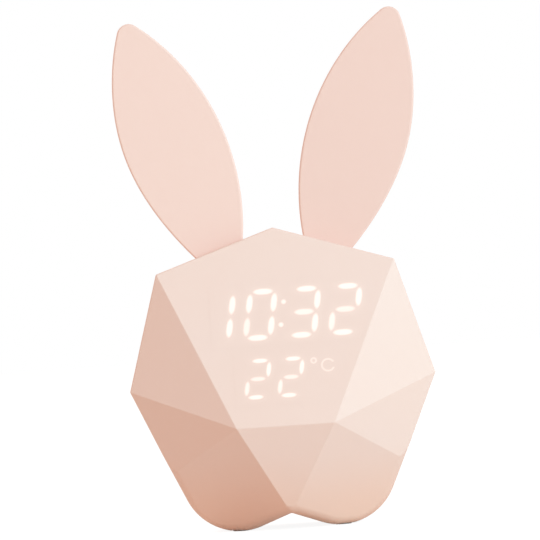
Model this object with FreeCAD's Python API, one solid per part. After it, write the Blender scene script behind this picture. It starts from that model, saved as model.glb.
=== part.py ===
import FreeCAD, Part
import math
import os
from FreeCAD import Placement, Rotation, Vector

# Kids alarm clock in the shape of a faceted animal head, in millimetres.
# The face looks along -Y, +Z is up, and the origin is on the table under the middle of the clock.

# Head seen from the front: half widths and heights above the table
CROWN_Z = 104.4
SHOULDER_X = 41.0
SHOULDER_Z = 90.9
CHEEK_X = 52.7
CHEEK_Z = 50.8
JAW_Z = 21.5
CHIN_X = 16.75
CHIN_Z = 36.6
NOTCH_Z = 5.8
LOBE_X = 17.8
LOBE_R = 19.6

# Head from front to back
CHIN_Y = -30.0
CHEEK_Y = -8.0
JAW_Y = -5.5
NOTCH_Y = -15.5
SPLIT_Y = 12.0
REAR_Y = 30.0
FACE_LEAN = 19.0
CROWN_FALL = 14.0
REAR_INSET = 12.0
HEEL = 4.0

# Shells
WALL = 2.0
CREASE_R = 0.8
SOLE_R = 6.0
LOBE_TOP = 12.0
SOLE_CUT = 0.3
REVEAL = 0.4
TONGUE_FIT = 0.15
TONGUE_WALL = 1.0
TONGUE_DEPTH = 2.5
TONGUE_ROOT = 2.0

# Ears: flat plates that plug into the top facets
EAR_THICKNESS = 3.2
EAR_Y = 0.5
EAR_EDGE_R = 0.7
EAR_X = 19.6
EAR_SEAT = 0.05
TAB_WIDTH = 12.0
TAB_THICKNESS = 2.2
TAB_DEPTH = 9.0
TAB_FIT = 0.15
SOCKET_WALL = 1.2
EAR_INNER = [(11.0, 97.0), (10.1, 118.0), (15.8, 142.3), (27.9, 163.1), (42.2, 176.8)]
EAR_TIP = [(46.1, 177.8), (49.0, 175.1)]
EAR_OUTER = [(52.1, 156.0), (48.7, 129.8), (38.5, 109.5), (24.0, 92.0)]

# Display behind the leaning face; row places are measured up the face from the chin line
MASK_GAP = 0.2
MASK_DEPTH = 5.0
MASK_INSET = 4.0
MASK_BOTTOM = 2.0
MASK_TOP = 56.0
BOARD_THICKNESS = 1.2
BOARD_INSET = 0.4
STROKE_LEAN = 9.7
TIME_UP = 40.2
TIME_PLACES = [-20.4, -6.1, 8.9, 23.1]
TIME_SIZE = (8.4, 16.5)
TIME_STROKE = 2.1
COLON_X = 1.45
COLON_RISE = 4.1
COLON_R = 0.8
HEAT_UP = 17.2
HEAT_PLACES = [-8.35, 2.95]
HEAT_SIZE = (6.7, 12.9)
HEAT_STROKE = 1.7
DEGREE_AT = (11.0, 22.5)
DEGREE_R = 1.2
LETTER_AT = (15.8, 20.6)
LETTER_R = 2.6
LETTER_BORE = 1.6
LETTER_GAP = 2.2
STROKE_GAP = 0.35
GUIDE_FIT = 0.05
GUIDE_RECESS = 0.6
LED_SIDE = 0.6
LED_HEIGHT = 0.4
DISPLAY_POSTS = [(29.0, 52.8), (10.5, 5.6)]
DISPLAY_POST_R = 2.5
POST_HOLE_FIT = 0.2
DISPLAY_PLUG = (10.0, 3.0, 2.5)
DISPLAY_PLUG_AT = (2.0, 28.0)

# Small screws for boards
SMALL_SHANK_R = 0.95
SMALL_BORE_R = 1.0
SMALL_HEAD_R = 1.9
SMALL_HEAD = 1.2
SMALL_LENGTH = 5.0
SMALL_BORE_DEPTH = 4.6

# Shell screws, driven from behind
TOP_SCREW_INSET = 4.3
TOP_SCREW_DROP = 11.7
LOW_SCREW_Z = 12.0
SCREW_PLACES = [(SHOULDER_X - TOP_SCREW_INSET, SHOULDER_Z - TOP_SCREW_DROP), (LOBE_X, LOW_SCREW_Z)]
SCREW_HEAD_R = 2.4
SCREW_HEAD = 2.0
SCREW_SHANK_R = 1.3
SCREW_LENGTH = 12.0
SCREW_PASS_R = 1.45
SCREW_GRIP_R = 1.35
SCREW_GRIP_DEPTH = 8.5
SCREW_SEAT = 4.5
SCREW_SINK_R = 2.7
POST_R = 3.4
POST_GAP = 0.1
SINK_WALL = 1.3

# Main board
MAIN_Y = 18.9
MAIN_HALF_WIDTH = 30.0
MAIN_BOTTOM = 22.0
MAIN_TOP = 60.0
MAIN_HOLE_INSET = 3.2
MAIN_POST_X = MAIN_HALF_WIDTH - MAIN_HOLE_INSET
MAIN_POSTS = [(MAIN_POST_X, MAIN_BOTTOM + MAIN_HOLE_INSET), (MAIN_POST_X, MAIN_TOP - MAIN_HOLE_INSET)]
MAIN_POST_R = 2.5

# Buttons and their switches
BUTTON_Z = 44.0
BUTTON_PITCH = 14.0
BUTTON_NAMES = ["clock", "alarm", "sound", "light"]
BUTTON_R = 4.0
BUTTON_FIT = 0.25
BUTTON_SUNK = 0.2
BUTTON_EDGE_R = 0.5
FLANGE_R = 5.2
FLANGE = 1.0
FLANGE_GAP = 0.05
STEM_R = 1.5
SWITCH_SIDE = 6.0
SWITCH_HEIGHT = 3.5
PLUNGER_R = 1.7
PLUNGER_FIT = 0.1
PLUNGER_LENGTH = 2.0
PLUNGER_PROUD = 1.0
PLUNGER_SINK = 1.8

# Speaker and its grille
SPEAKER_DROP = 33.4
SPEAKER_Z = CROWN_Z - SPEAKER_DROP
SPEAKER_R = 14.0
SPEAKER_RIM = 2.5
SPEAKER_BASKET = 2.2
SPEAKER_MAGNET_R = 8.0
SPEAKER_MAGNET = 1.6
SPEAKER_FIT = 0.3
SPEAKER_RING = 1.2
GASKET = 0.7
CONE_R = 11.5
CONE_DEPTH = 1.5
CONE_SKIN = 0.4
CONE_HUB_R = 3.8
GRILLE_PITCH = 3.7
GRILLE_HOLE_R = 0.8
GRILLE_RINGS = 3

# Charging inlet
USB_Z = 30.0
USB_WIDTH = 7.8
USB_HEIGHT = 3.0
USB_SKIN = 0.3
USB_REAR_GAP = 0.3
USB_FIT = 0.3
USB_TONGUE = (5.0, 0.7)
USB_TONGUE_BACK = 1.5

# Small parts on the rear of the main board
CHIP_SIDE = 7.0
CHIP_HEIGHT = 1.2
CHIP_AT = (-9.0, 35.5)
CRYSTAL_R = 1.0
CRYSTAL_LENGTH = 6.0
CRYSTAL_AT = (-1.0, 36.5)
MICROPHONE_R = 2.0
MICROPHONE_HEIGHT = 2.0
MICROPHONE_AT = (11.5, 36.0)
SOUND_HOLE_R = 0.6
SENSOR_R = 1.2
SENSOR_Z = 17.0
SENSOR_Y = 24.5
SENSOR_LEG_R = 0.25
SENSOR_LEG_SPACING = 1.0
SENSOR_FOOT_RISE = 2.0
VENT_LENGTH = 10.0
VENT_WIDTH = 1.2
VENT_STEP = 2.4
VENT_COUNT = 3

# Battery on the front of the main board
BATTERY_WIDTH = 48.0
BATTERY_HEIGHT = 29.0
BATTERY_THICKNESS = 6.0
BATTERY_EDGE_R = 2.4
BATTERY_Z = 38.5
PAD_THICKNESS = 1.0
PAD_INSET = 4.0

# Night light
NIGHT_Y = 6.8
NIGHT_Z = SPEAKER_Z
NIGHT_HALF_WIDTH = 22.0
NIGHT_HEIGHT = 14.0
NIGHT_HOLE_INSET = 3.5
NIGHT_POST_X = NIGHT_HALF_WIDTH - NIGHT_HOLE_INSET
NIGHT_LED_SIDE = 3.5
NIGHT_LED_HEIGHT = 1.4
NIGHT_LED_PITCH = 8.0
NIGHT_LED_COUNT = 3
DIFFUSER_WIDTH = 30.0
DIFFUSER_DEPTH = 6.0
DIFFUSER_HEIGHT = 13.0
DIFFUSER_WALL = 1.0

# Rear magnets
MAGNET_X = 18.0
MAGNET_Z = 27.5
MAGNET_R = 7.0
MAGNET_THICKNESS = 3.0
MAGNET_FIT = 0.15
MAGNET_RING = 1.2
MAGNET_RING_RISE = 0.5

# Foot pads
PAD_R = 2.8
PAD_HEIGHT = 1.4
PAD_FIT = 0.1
PAD_ROWS = [5.2, 21.5]
PAD_SEAT_R = 4.0
PAD_SEAT_TOP = 4.0

# Plugs and leads on the front of the main board
PLUG_HEIGHT = 3.6
PLUG_DEPTH = 4.5
PLUG_INSET = 3.5
PLUG_Z = MAIN_TOP - PLUG_INSET
BATTERY_PLUG_X = -8.0
SPEAKER_PLUG_X = 14.0
PLUG_PITCH = 7.5
NIGHT_PLUG_X = SPEAKER_PLUG_X + PLUG_PITCH
PLUG_WIDTH = 5.6
RIBBON_WIDTH = 8.0
RIBBON_THICKNESS = 0.3
RIBBON_PLUG_DEPTH = 3.0
RIBBON_STRAIGHT = 6.0
RIBBON_BOW = (13.0, 1.8)
LEAD_R = 0.5
LEAD_SPACING = 1.4
BATTERY_LEAD_RUN = 7.0
SPEAKER_TAG_X = 12.5
SPEAKER_TAG_DROP = 4.0
SPEAKER_TAG_GAP = 1.2
NIGHT_TAG_INSET = 6.0
NIGHT_TAG_X = NIGHT_POST_X - NIGHT_TAG_INSET
NIGHT_TAG_DROP = 4.5
NIGHT_LEAD_RUN = 4.0
LEAD_DROP = 7.5

BIG = 400.0
HEART = Vector(0, 0, 0.5 * CROWN_Z)
MAIN_REAR = MAIN_Y + BOARD_THICKNESS
WALL_Y = REAR_Y - WALL
LEAN = math.radians(FACE_LEAN)
SIDES = (-1, 1)


def save(node, *solids):
    shape = solids[0] if len(solids) == 1 else Part.makeCompound(list(solids))
    shape.exportStep("parts/" + node + ".step")


def box(x0, x1, y0, y1, z0, z1):
    return Part.makeBox(x1 - x0, y1 - y0, z1 - z0, Vector(x0, y0, z0))


def rod(radius, x, z, y0, y1):
    """Round bar that lies along Y."""
    return Part.makeCylinder(radius, y1 - y0, Vector(x, y0, z), Vector(0, 1, 0))


def mirrored(shape):
    return shape.mirror(Vector(0, 0, 0), Vector(1, 0, 0))


def both_sides(places):
    return [(side * x, z) for x, z in places for side in SIDES]


def face_height(z):
    """Y of the leaning face at height z."""
    return CHIN_Y + (z - CHIN_Z) * math.tan(LEAN)


def on_face(shape):
    """Places a shape drawn with X across, Y up the face and Z out of the face."""
    placed = shape.copy()
    face = Placement(Vector(0, CHIN_Y, CHIN_Z), Rotation(Vector(1, 0, 0), 90 - FACE_LEAN))
    placed.Placement = face.multiply(shape.Placement)
    return placed


def face_point(x, up, out):
    """Point given across the face, up the face and out of the face."""
    y = CHIN_Y + up * math.sin(LEAN) - out * math.cos(LEAN)
    z = CHIN_Z + up * math.cos(LEAN) + out * math.sin(LEAN)
    return Vector(x, y, z)


def tangent_angle(x, z, side):
    """Direction of the line from a point to the lobe circle that touches it on one side."""
    reach = math.hypot(LOBE_X - x, LOBE_R - z)
    return math.atan2(LOBE_R - z, LOBE_X - x) + side * math.asin(LOBE_R / reach)


def front_outline(inset):
    """Outline of the head in the XZ plane, moved inwards by the inset."""
    cheek_dir = tangent_angle(CHEEK_X, CHEEK_Z, 1)
    notch_dir = tangent_angle(0, NOTCH_Z, -1)
    outer = (LOBE_X - LOBE_R * math.sin(cheek_dir), LOBE_R + LOBE_R * math.cos(cheek_dir))
    inner = (LOBE_X + LOBE_R * math.sin(notch_dir), LOBE_R - LOBE_R * math.cos(notch_dir))
    lowest = (LOBE_X, 0)
    edges = []
    for side in SIDES:
        def at(point):
            return Vector(side * point[0], 0, point[1])
        corners = [(0, CROWN_Z), (SHOULDER_X, SHOULDER_Z), (CHEEK_X, CHEEK_Z), outer]
        for start, end in zip(corners, corners[1:]):
            edges.append(Part.LineSegment(at(start), at(end)).toShape())
        edges.append(Part.Arc(at(outer), at(lowest), at(inner)).toShape())
        edges.append(Part.LineSegment(at(inner), at((0, NOTCH_Z))).toShape())
    outline = Part.Wire(Part.__sortEdges__(edges))
    if inset:
        outline = outline.makeOffset2D(-inset, 2)
    return outline


def beyond(a, b, c, inset):
    """Block outside the plane through three points, with the plane moved inwards by the inset."""
    normal = (b - a).cross(c - a).normalize()
    if normal.dot(a - HEART) < 0:
        normal = normal * -1
    block = Part.makeBox(BIG, BIG, BIG, Vector(-BIG / 2, -BIG / 2, 0))
    block.Placement = Placement(a - normal * inset, Rotation(Vector(0, 0, 1), normal))
    return block


def head(inset):
    """Whole head as one solid, moved inwards by the inset on every side."""
    crown = Vector(0, face_height(CROWN_Z), CROWN_Z)
    notch = Vector(0, NOTCH_Y, NOTCH_Z)
    prism = Part.Face(front_outline(inset)).extrude(Vector(0, REAR_Y - CHIN_Y - 2 * inset, 0))
    prism.translate(Vector(0, CHIN_Y + inset, 0))
    jaw_dir = tangent_angle(CHEEK_X, CHEEK_Z, 1)
    jaw_x = CHEEK_X + (JAW_Z - CHEEK_Z) / math.tan(jaw_dir)
    outside = [beyond(Vector(-CHIN_X, CHIN_Y, CHIN_Z), Vector(CHIN_X, CHIN_Y, CHIN_Z), crown, inset)]
    outside.append(beyond(Vector(-CHIN_X, CHIN_Y, CHIN_Z), Vector(CHIN_X, CHIN_Y, CHIN_Z), notch, inset))
    heel = Vector(0, REAR_Y - HEEL, SOLE_CUT)
    outside.append(beyond(heel, heel + Vector(1, 0, 0), heel + Vector(0, HEEL, HEEL), inset))
    for side in SIDES:
        shoulder = Vector(side * SHOULDER_X, face_height(SHOULDER_Z), SHOULDER_Z)
        cheek = Vector(side * CHEEK_X, CHEEK_Y, CHEEK_Z)
        jaw = Vector(side * jaw_x, JAW_Y, JAW_Z)
        chin = Vector(side * CHIN_X, CHIN_Y, CHIN_Z)
        fall = Vector(0, BIG, -BIG * math.tan(math.radians(CROWN_FALL)))
        outside.append(beyond(shoulder, cheek, chin, inset))
        outside.append(beyond(cheek, jaw, chin, inset))
        outside.append(beyond(chin, jaw, notch, inset))
        outside.append(beyond(crown, shoulder, crown + fall, inset))
        for top, low in ((crown, shoulder), (shoulder, cheek), (cheek, jaw)):
            outside.append(rear_bevel(top, low, side, inset))
    body = prism
    for block in outside:
        body = body.cut(block)
    return body


def rear_bevel(top, low, side, inset):
    """Block outside the sloping rear facet that starts at the split line and ends at the flat rear."""
    along = Vector(low.x - top.x, 0, low.z - top.z).normalize()
    inwards = Vector(along.z * side, 0, -along.x * side)
    start = Vector(top.x, SPLIT_Y, top.z)
    return beyond(start, start + along, start + inwards * REAR_INSET + Vector(0, REAR_Y - SPLIT_Y, 0), inset)


def outer_head():
    """Head with its soles cut flat and its edges rounded."""
    body = head(0)
    body = body.cut(box(-BIG, BIG, -BIG, BIG, -BIG, SOLE_CUT))
    body = body.makeFillet(SOLE_R, [e for e in body.Edges if is_front_sole_edge(e)])
    return body.makeFillet(CREASE_R, [e for e in body.Edges if is_crease(body, e)])


def is_front_sole_edge(edge):
    """Whether an edge joins the lower front facets to the underside of a lobe or of the notch."""
    a, b = edge.Vertexes[0].Point, edge.Vertexes[-1].Point
    low = max(a.z, b.z) < LOBE_TOP
    in_front = max(a.y, b.y) < PAD_ROWS[0] - PAD_R
    crosses = abs(a.y - b.y) > SOLE_CUT and abs(a.x - b.x) > SOLE_CUT
    return low and in_front and crosses and edge.Length > SOLE_R / 2


def is_crease(body, edge):
    """Whether an edge above the lobes is sharp."""
    if max(v.Point.z for v in edge.Vertexes) < LOBE_TOP:
        return False
    middle = edge.valueAt((edge.FirstParameter + edge.LastParameter) / 2)
    normals = []
    for face in body.ancestorsOfType(edge, Part.Face):
        u, v = face.Surface.parameter(middle)
        normals.append(face.normalAt(u, v))
    return len(normals) == 2 and abs(normals[0].dot(normals[1])) < 0.999


def behind(y):
    return box(-BIG, BIG, y, BIG, -BIG, BIG)


def before(y):
    return box(-BIG, BIG, -BIG, y, -BIG, BIG)


def ear_frame(drop):
    """Placement of a box whose Z runs out of the top facet at the ear, lowered by the drop."""
    slope = math.atan2(CROWN_Z - SHOULDER_Z, SHOULDER_X)
    up = Vector(math.sin(slope), 0, math.cos(slope))
    fall = math.tan(math.radians(CROWN_FALL))
    z = CROWN_Z - EAR_X * math.tan(slope) - (EAR_Y - face_height(CROWN_Z)) * fall
    return Placement(Vector(EAR_X, EAR_Y, z) - up * drop, Rotation(Vector(0, 1, 0), math.degrees(slope)))


def ear_block(width, thickness, depth, above):
    """Upright block centred on the ear's plug, from its depth to a height above the facet."""
    block = Part.makeBox(width, thickness, depth + above, Vector(-width / 2, -thickness / 2, 0))
    block.Placement = ear_frame(depth)
    return block


def ear_plate():
    """Right ear: a flat plate with a rounded rim, seated on the top facet, and its plug tab."""
    def curve(points):
        spline = Part.BSplineCurve()
        spline.interpolate([Vector(x, 0, z) for x, z in points])
        return spline.toShape()
    inner = curve(EAR_INNER)
    tip = Part.Arc(*[Vector(x, 0, z) for x, z in [EAR_INNER[-1]] + EAR_TIP]).toShape()
    outer = curve([EAR_TIP[-1]] + EAR_OUTER)
    base = Part.LineSegment(Vector(*outer.Vertexes[-1].Point), Vector(*inner.Vertexes[0].Point)).toShape()
    rim = Part.Wire([inner, tip, outer, base])
    plate = Part.Face(rim).extrude(Vector(0, EAR_THICKNESS, 0))
    plate.translate(Vector(0, EAR_Y - EAR_THICKNESS / 2, 0))
    plate = plate.makeFillet(EAR_EDGE_R, [e for e in plate.Edges if abs(e.tangentAt(e.FirstParameter).y) < 0.5])
    crown = Vector(0, face_height(CROWN_Z), CROWN_Z)
    shoulder = Vector(SHOULDER_X, face_height(SHOULDER_Z), SHOULDER_Z)
    fall = Vector(0, 1, -math.tan(math.radians(CROWN_FALL)))
    plate = plate.common(beyond(crown, shoulder, crown + fall, -EAR_SEAT))
    return plate.fuse(ear_block(TAB_WIDTH, TAB_THICKNESS, TAB_DEPTH, TAB_DEPTH)).removeSplitter()


def shell_screw(x, z):
    seat = SPLIT_Y + SCREW_SEAT
    shank = rod(SCREW_SHANK_R, x, z, seat - SCREW_LENGTH, seat)
    socket = rod(SCREW_HEAD_R / 2, x, z, seat + SCREW_HEAD / 2, seat + SCREW_HEAD + 1)
    return shank.fuse(rod(SCREW_HEAD_R, x, z, seat, seat + SCREW_HEAD)).cut(socket)


def front_shell(outer, cavity):
    """Front moulding with its screw posts, display posts and ear sockets."""
    shell = outer.common(before(SPLIT_Y)).cut(cavity)
    room = outer.common(before(SPLIT_Y - POST_GAP))
    posts = []
    bores = []
    for x, z in both_sides(SCREW_PLACES):
        posts.append(rod(POST_R, x, z, CHIN_Y, SPLIT_Y - POST_GAP))
        bores.append(rod(SCREW_GRIP_R, x, z, SPLIT_Y - SCREW_GRIP_DEPTH, SPLIT_Y))
    depth = WALL + MASK_GAP + MASK_DEPTH
    for x, up in both_sides(DISPLAY_POSTS):
        post = Part.makeCylinder(DISPLAY_POST_R, depth, Vector(x, up, -depth))
        bore = Part.makeCylinder(SMALL_BORE_R, SMALL_BORE_DEPTH, Vector(x, up, -depth))
        posts.append(on_face(post))
        bores.append(on_face(bore))
    for side in SIDES:
        posts.append(pad_seat(side, PAD_ROWS[0]))
        bores.append(foot_pad(side, PAD_ROWS[0], PAD_FIT))
    across = 2 * (TAB_FIT + SOCKET_WALL)
    socket = ear_block(TAB_WIDTH + across, TAB_THICKNESS + across, TAB_DEPTH, TAB_DEPTH)
    slot = ear_block(TAB_WIDTH + 2 * TAB_FIT, TAB_THICKNESS + 2 * TAB_FIT, 2 * TAB_DEPTH, TAB_DEPTH)
    posts += [socket, mirrored(socket)]
    bores += [slot, mirrored(slot)]
    shell = shell.fuse(Part.makeCompound(posts).common(room))
    return shell.cut(Part.makeCompound(bores)).removeSplitter()


def pad_seat(side, y):
    return Part.makeCylinder(PAD_SEAT_R, PAD_SEAT_TOP, Vector(side * LOBE_X, y, 0))


def foot_pad(side, y, fit):
    """Round foot pad; the fit widens it into its pocket."""
    return Part.makeCylinder(PAD_R + fit, PAD_HEIGHT + fit, Vector(side * LOBE_X, y, 0))


def tongue():
    """Ring that lines up the two shells, joined to the rear shell behind the split."""
    inner = head(WALL + TONGUE_FIT + TONGUE_WALL)
    front = head(WALL + TONGUE_FIT).common(behind(SPLIT_Y - TONGUE_DEPTH)).common(before(SPLIT_Y))
    root = head(WALL / 2).common(behind(SPLIT_Y)).common(before(SPLIT_Y + TONGUE_ROOT))
    return front.fuse(root).cut(inner)


def grille_places():
    """Speaker holes on rings about the speaker's centre."""
    places = [(0, SPEAKER_Z)]
    for ring in range(1, GRILLE_RINGS + 1):
        for step in range(6 * ring):
            turn = math.radians(60 * step / ring)
            reach = GRILLE_PITCH * ring
            places.append((reach * math.sin(turn), SPEAKER_Z + reach * math.cos(turn)))
    return places


def button_places():
    middle = (len(BUTTON_NAMES) - 1) / 2
    return [((middle - i) * BUTTON_PITCH, name) for i, name in enumerate(BUTTON_NAMES)]


def rear_shell(outer, cavity):
    """Rear moulding with its tongue, posts, rings and every opening behind."""
    shell = outer.common(behind(SPLIT_Y)).cut(cavity)
    room = outer.common(behind(SPLIT_Y))
    posts = []
    bores = []
    seat = SPLIT_Y + SCREW_SEAT
    for x, z in both_sides(SCREW_PLACES):
        posts.append(rod(SCREW_SINK_R + SINK_WALL, x, z, SPLIT_Y, REAR_Y))
        bores.append(rod(SCREW_PASS_R, x, z, SPLIT_Y - TONGUE_DEPTH, seat))
        bores.append(rod(SCREW_SINK_R, x, z, seat, REAR_Y))
    for x, z in both_sides(MAIN_POSTS):
        posts.append(rod(MAIN_POST_R, x, z, MAIN_REAR, WALL_Y))
        bores.append(rod(SMALL_BORE_R, x, z, MAIN_REAR, MAIN_REAR + SMALL_BORE_DEPTH))
    for side in SIDES:
        x = side * NIGHT_POST_X
        rear = NIGHT_Y + BOARD_THICKNESS
        posts.append(rod(MAIN_POST_R, x, NIGHT_Z, rear, WALL_Y))
        bores.append(rod(SMALL_BORE_R, x, NIGHT_Z, rear, rear + SMALL_BORE_DEPTH))
        ring_y = WALL_Y - MAGNET_THICKNESS - MAGNET_RING_RISE
        posts.append(rod(MAGNET_R + MAGNET_FIT + MAGNET_RING, side * MAGNET_X, MAGNET_Z, ring_y, WALL_Y))
        bores.append(rod(MAGNET_R + MAGNET_FIT, side * MAGNET_X, MAGNET_Z, ring_y, WALL_Y))
        posts.append(pad_seat(side, PAD_ROWS[1]))
        bores.append(foot_pad(side, PAD_ROWS[1], PAD_FIT))
    ring_r = SPEAKER_R + SPEAKER_FIT
    ring_y = WALL_Y - GASKET - SPEAKER_RIM
    ring = rod(ring_r + SPEAKER_RING, 0, SPEAKER_Z, ring_y, WALL_Y)
    posts.append(ring.cut(rod(ring_r, 0, SPEAKER_Z, ring_y, WALL_Y)))
    bores += [rod(GRILLE_HOLE_R, x, z, WALL_Y, REAR_Y) for x, z in grille_places()]
    bores += [rod(BUTTON_R + BUTTON_FIT, x, BUTTON_Z, WALL_Y, REAR_Y) for x, name in button_places()]
    bores.append(rod(SOUND_HOLE_R, MICROPHONE_AT[0], MICROPHONE_AT[1], WALL_Y, REAR_Y))
    half = USB_WIDTH / 2 + USB_FIT
    rise = USB_HEIGHT / 2 + USB_FIT
    port = box(-half, half, WALL_Y, REAR_Y, USB_Z - rise, USB_Z + rise)
    bores.append(port)
    for row in range(VENT_COUNT):
        z = SENSOR_Z + (row - (VENT_COUNT - 1) / 2) * VENT_STEP
        half = VENT_LENGTH / 2
        bores.append(box(-half, half, WALL_Y, REAR_Y, z - VENT_WIDTH / 2, z + VENT_WIDTH / 2))
    reveal = outer.common(behind(SPLIT_Y)).common(before(SPLIT_Y + REVEAL)).cut(head(REVEAL))
    shell = shell.fuse(Part.makeCompound(posts).common(room)).fuse(tongue()).cut(reveal)
    return shell.cut(Part.makeCompound(bores)).removeSplitter()


def bar(x0, y0, x1, y1, width, margin):
    """Lens-shaped stroke between two points, shorter than their distance and widened by a margin."""
    length = math.hypot(x1 - x0, y1 - y0) - 2 * STROKE_GAP
    half = length / 2 + margin
    rise = width / 2 + margin
    points = [(-half, 0), (rise - half, rise), (half - rise, rise), (half, 0), (half - rise, -rise),
              (rise - half, -rise), (-half, 0)]
    face = Part.Face(Part.makePolygon([Vector(x, y, 0) for x, y in points]))
    angle = math.degrees(math.atan2(y1 - y0, x1 - x0))
    face.Placement = Placement(Vector((x0 + x1) / 2, (y0 + y1) / 2, 0), Rotation(Vector(0, 0, 1), angle))
    return face


def digit(x, up, size, stroke, margin):
    """Seven strokes of one digit on the face, leaning to the right."""
    half = size[0] / 2
    rise = size[1] / 2
    slant = math.tan(math.radians(STROKE_LEAN))

    def at(across, level):
        return (x + across * half + level * rise * slant, up + level * rise)
    ends = [((-1, 1), (1, 1)), ((-1, 0), (1, 0)), ((-1, -1), (1, -1))]
    ends += [((side, low), (side, low + 1)) for side in SIDES for low in (-1, 0)]
    return [bar(*at(*a), *at(*b), stroke, margin) for a, b in ends]


def raised(face, bottom, top):
    """Solid from a face drawn at height 0, between two heights."""
    solid = face.extrude(Vector(0, 0, top - bottom))
    solid.translate(Vector(0, 0, bottom))
    return solid


def disc(at, radius):
    circle = Part.makeCircle(radius, Vector(at[0], at[1], 0))
    return Part.Face(Part.Wire(circle))


def colon_faces(margin):
    return [disc((COLON_X + s * COLON_RISE * math.tan(math.radians(STROKE_LEAN)), TIME_UP + s * COLON_RISE),
                 COLON_R + margin) for s in SIDES]


def unit_faces(margin):
    """Degree sign and the open letter ring."""
    ring = disc(DEGREE_AT, DEGREE_R + margin)
    letter = disc(LETTER_AT, LETTER_R + margin).cut(disc(LETTER_AT, LETTER_BORE - margin))
    x, up = LETTER_AT
    half = LETTER_GAP / 2 - margin
    mouth = Part.Face(Part.makePolygon([Vector(x, up - half, 0), Vector(x + 2 * LETTER_R, up - half, 0),
                                        Vector(x + 2 * LETTER_R, up + half, 0), Vector(x, up + half, 0),
                                        Vector(x, up - half, 0)]))
    return [ring, letter.cut(mouth)]


def time_faces(margin):
    return [f for x in TIME_PLACES for f in digit(x, TIME_UP, TIME_SIZE, TIME_STROKE, margin)]


def heat_faces(margin):
    return [f for x in HEAT_PLACES for f in digit(x, HEAT_UP, HEAT_SIZE, HEAT_STROKE, margin)]


def display_plate(inset, top, bottom):
    """Plate behind the face that narrows towards the chin."""
    slope = (SHOULDER_X - CHIN_X) / ((SHOULDER_Z - CHIN_Z) / math.cos(LEAN))
    low = MASK_BOTTOM + inset
    high = MASK_TOP - inset
    near = CHIN_X + low * slope - MASK_INSET - inset
    far = CHIN_X + high * slope - MASK_INSET - inset
    corners = [(-near, low), (near, low), (far, high), (-far, high), (-near, low)]
    face = Part.Face(Part.makePolygon([Vector(x, y, 0) for x, y in corners]))
    return raised(face, bottom, top)


def display_parts():
    front = -WALL - MASK_GAP
    rear = front - MASK_DEPTH
    mask = display_plate(0, front, rear)
    hole_r = DISPLAY_POST_R + POST_HOLE_FIT
    holes = [raised(disc(at, hole_r), rear, front) for at in both_sides(DISPLAY_POSTS)]
    wells = time_faces(GUIDE_FIT) + heat_faces(GUIDE_FIT) + colon_faces(GUIDE_FIT) + unit_faces(GUIDE_FIT)
    holes += [raised(face, rear, front) for face in wells]
    mask = mask.cut(Part.makeCompound(holes))
    save("display_mask", on_face(mask))
    foot = rear + GUIDE_RECESS
    groups = [("time_light_guides", time_faces(0)), ("temperature_light_guides", heat_faces(0)),
              ("colon_light_guides", colon_faces(0)), ("unit_light_guides", unit_faces(0))]
    for name, faces in groups:
        save(name, *[on_face(raised(face, foot, front)) for face in faces])
    back = rear - BOARD_THICKNESS
    board = display_plate(BOARD_INSET, rear, back)
    screws = []
    for at in both_sides(DISPLAY_POSTS):
        board = board.cut(raised(disc(at, SMALL_BORE_R), back, rear))
        screw = raised(disc(at, SMALL_SHANK_R), back, back + SMALL_LENGTH)
        screw = screw.fuse(raised(disc(at, SMALL_HEAD_R), back - SMALL_HEAD, back))
        screws.append(on_face(screw))
    save("display_board", on_face(board))
    save("display_screws", *screws)
    leds = []
    lit = time_faces(0) + heat_faces(0) + colon_faces(0)
    spots = [face.CenterOfMass for face in lit]
    spots.append(Vector(DEGREE_AT[0], DEGREE_AT[1], 0))
    spots.append(Vector(LETTER_AT[0] - (LETTER_R + LETTER_BORE) / 2, LETTER_AT[1], 0))
    for spot in spots:
        corner = Vector(spot.x - LED_SIDE / 2, spot.y - LED_SIDE / 2, rear)
        led = Part.makeBox(LED_SIDE, LED_SIDE, LED_HEIGHT, corner)
        leds.append(on_face(led))
    save("display_leds", *leds)
    x, up = DISPLAY_PLUG_AT
    wide, high, deep = DISPLAY_PLUG
    plug = Part.makeBox(wide, high, deep, Vector(x - wide / 2, up - high / 2, back - deep))
    save("display_connector", on_face(plug))


def rounded_path(points):
    """Wire through a list of points: straight runs joined by tangent arcs."""
    edges = []
    start = points[0]
    for before_it, corner, after_it in zip(points, points[1:], points[2:]):
        back = before_it - corner
        ahead = after_it - corner
        reach = 0.45 * min(back.Length, ahead.Length)
        back.normalize()
        ahead.normalize()
        half = back.getAngle(ahead) / 2
        middle = (back + ahead).normalize()
        radius = reach * math.tan(half)
        centre = corner + middle * (radius / math.sin(half))
        first = corner + back * reach
        last = corner + ahead * reach
        edges.append(Part.LineSegment(start, first).toShape())
        edges.append(Part.Arc(first, centre - middle * radius, last).toShape())
        start = last
    edges.append(Part.LineSegment(start, points[-1]).toShape())
    return Part.Wire(edges)


def lead(points, radius):
    path = rounded_path(points)
    direction = points[1] - points[0]
    circle = Part.Wire(Part.makeCircle(radius, points[0], direction))
    return path.makePipeShell([circle], True, False)


def shifted(points, offset):
    return [point + offset for point in points]


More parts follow.
